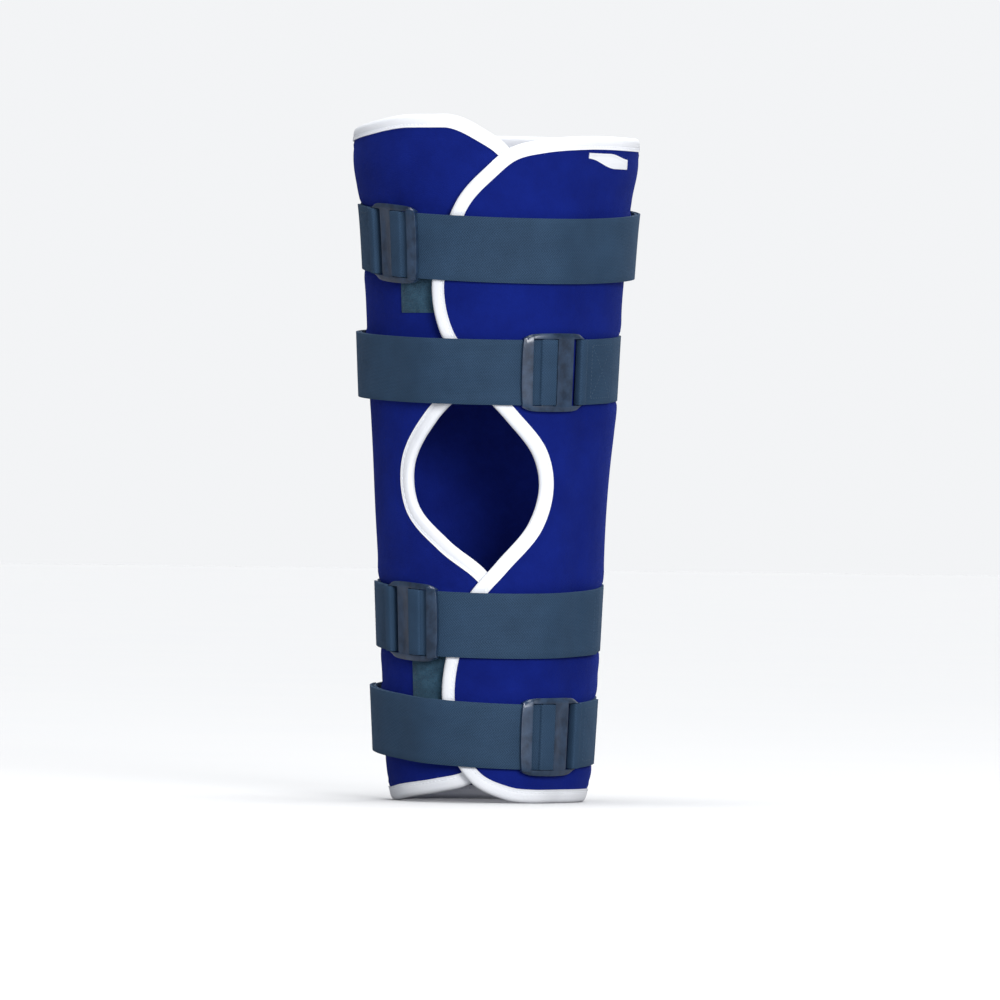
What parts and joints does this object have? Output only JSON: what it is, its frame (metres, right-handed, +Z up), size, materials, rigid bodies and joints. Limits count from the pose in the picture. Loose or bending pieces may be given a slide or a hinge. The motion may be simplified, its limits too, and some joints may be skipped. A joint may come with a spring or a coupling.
{
  "type": "knee immobilizer",
  "caption": "Tall foam knee immobilizer sleeve with white bound edges, overlapping front flaps, an open kneecap window and webbing straps through bar buckles.",
  "frame": {"origin": "under the middle of the object's box, on the plane that the lower hem stands on", "axes": "+Z up along the leg, -Y towards the front closure and the kneecap opening, +X towards the side that the top flap comes from"},
  "size_m": [0.2142, 0.2096, 0.508],
  "materials": {
    "foam_laminate": "blue brushed loop cloth laminated on foam",
    "binding_tape": "white woven binding tape",
    "strap_webbing": "slate woven webbing",
    "buckle_plastic": "dark satin moulded plastic",
    "fastening_patch": "grey-green loop patch"
  },
  "bodies": {
    "root": {"foam_wrap": "foam_laminate", "binding_hem": "binding_tape", "binding_top_flap": "binding_tape", "binding_rim": "binding_tape", "binding_under_flap": "binding_tape", "patch_upper": "fastening_patch", "patch_lower": "fastening_patch", "pocket_tape": "binding_tape", "strap_thigh_upper": "strap_webbing", "buckle_thigh_upper": "buckle_plastic", "strap_thigh_lower": "strap_webbing", "buckle_thigh_lower": "buckle_plastic", "strap_calf_upper": "strap_webbing", "buckle_calf_upper": "buckle_plastic", "strap_calf_lower": "strap_webbing", "buckle_calf_lower": "buckle_plastic"}
  },
  "joints": []
}
